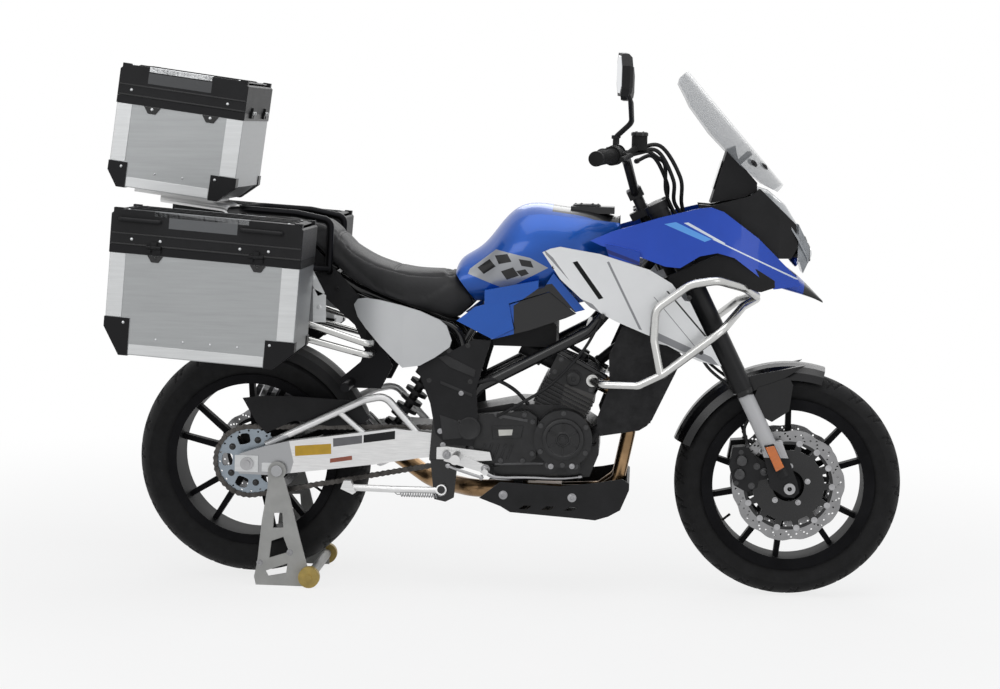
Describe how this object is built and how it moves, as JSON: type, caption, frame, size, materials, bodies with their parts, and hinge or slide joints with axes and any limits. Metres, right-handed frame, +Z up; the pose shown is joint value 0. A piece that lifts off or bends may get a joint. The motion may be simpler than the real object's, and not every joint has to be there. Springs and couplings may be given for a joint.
{
  "type": "adventure motorcycle with luggage on a paddock stand",
  "caption": "Adventure motorcycle with turning wheels, steering, folding side stand, hinged luggage case lids and a paddock stand under the swingarm.",
  "frame": {"origin": "on the floor, in the wheels' middle plane, midway between the front tyre's front and the top case's rear corner", "axes": "+X forward, +Z up, the chain and side stand on the -Y side"},
  "size_m": [2.1, 0.994, 1.414],
  "materials": {
    "painted_blue": "gloss metallic paint",
    "painted_silver": "satin silver paint",
    "black_frame": "satin black",
    "black_plastic": "fine grain",
    "gloss_black": "gloss",
    "engine_black": "black coated casting",
    "radiator_black": "black fins",
    "headers": "heat-tinted steel",
    "bare_aluminium": "brushed",
    "case_aluminium": "brushed sheet",
    "case_lid": "dark sheet with bright trim",
    "stainless": "polished tube",
    "steel": "ground steel",
    "chain_steel": "oiled",
    "stand_grey": "light grey powder coat",
    "castor_yellow": "hard nylon",
    "tyre_rubber": "road tyre",
    "black_wheel": "gloss black",
    "seat_cover": "grained seat cover",
    "grip_rubber": "ribbed",
    "lamp_glass": "clear lens",
    "screen": "clear polycarbonate",
    "mirror_black": "housing with mirror glass",
    "fork_black": "black outer tubes, chrome sliders"
  },
  "bodies": {
    "chassis": {"main_frame": "black_frame", "rear_subframe": "black_frame", "engine": "engine_black", "airbox": "black_plastic", "radiator": "radiator_black", "exhaust": "headers", "skid_plate": "black_frame", "swingarm": "bare_aluminium", "rear_axle": "steel", "rear_caliper": "black_frame", "rear_shock": "black_frame", "drive_chain": "chain_steel", "rear_hugger": "black_plastic", "fuel_tank": "painted_blue", "tank_panels": "painted_blue", "seat": "seat_cover", "side_panels": "painted_silver", "frame_covers": "black_plastic", "shrouds": "painted_silver", "front_fairing": "painted_blue", "nose_cowl": "black_plastic", "lamps": "lamp_glass", "windscreen": "screen", "instrument_panel": "black_plastic", "crash_bars": "stainless", "pannier_racks": "stainless", "top_case_rack": "bare_aluminium", "plate_bracket": "black_plastic", "foot_controls": "bare_aluminium", "paddock_stand": "stand_grey", "pannier_body_left": "case_aluminium", "pannier_body_right": "case_aluminium", "top_case_body": "case_aluminium"},
    "steering": {"fork": "fork_black", "front_axle": "steel", "handlebar": "black_frame", "hand_controls": "grip_rubber", "mirrors": "mirror_black", "front_fender": "gloss_black", "front_calipers": "black_frame"},
    "front_wheel": {"front_tyre": "tyre_rubber", "front_rim": "black_wheel", "front_discs": "steel"},
    "rear_wheel": {"rear_tyre": "tyre_rubber", "rear_rim": "black_wheel", "rear_disc_and_sprocket": "steel"},
    "side_stand": {"side_stand": "bare_aluminium"},
    "stand_castors": {"stand_castors": "castor_yellow"},
    "top_case_lid": {"top_case_lid": "case_lid"},
    "pannier_lid_left": {"pannier_lid_left": "case_lid"},
    "pannier_lid_right": {"pannier_lid_right": "case_lid"}
  },
  "joints": [
    {"name": "steering", "type": "hinge", "parent": "chassis", "child": "steering", "pos_m": [0.3892, 0, 0.92], "axis": [-0.454, 0, 0.891], "range_deg": [-35, 35]},
    {"name": "front_wheel_spin", "type": "hinge", "parent": "steering", "child": "front_wheel", "pos_m": [0.75, 0, 0.3], "axis": [0, 1, 0], "continuous": true},
    {"name": "rear_wheel_spin", "type": "hinge", "parent": "chassis", "child": "rear_wheel", "pos_m": [-0.68, 0, 0.322], "axis": [0, 1, 0], "continuous": true},
    {"name": "side_stand_fold", "type": "hinge", "parent": "chassis", "child": "side_stand", "pos_m": [-0.16, -0.172, 0.272], "axis": [0, -0.9511, 0.309], "range_deg": [0, 105]},
    {"name": "stand_castor_roll", "type": "hinge", "parent": "chassis", "child": "stand_castors", "pos_m": [-0.506, 0, 0.028], "axis": [0, 1, 0], "continuous": true},
    {"name": "top_case_hinge", "type": "hinge", "parent": "chassis", "child": "top_case_lid", "pos_m": [-0.68415, 0, 1.24282], "axis": [0, 1, 0], "range_deg": [0, 95]},
    {"name": "pannier_left_hinge", "type": "hinge", "parent": "chassis", "child": "pannier_lid_left", "pos_m": [-0.73293, -0.488, 0.89732], "axis": [0.9979, 0, -0.0645], "range_deg": [0, 95]},
    {"name": "pannier_right_hinge", "type": "hinge", "parent": "chassis", "child": "pannier_lid_right", "pos_m": [-0.73293, 0.488, 0.89732], "axis": [-0.9979, 0, 0.0645], "range_deg": [0, 95]}
  ]
}
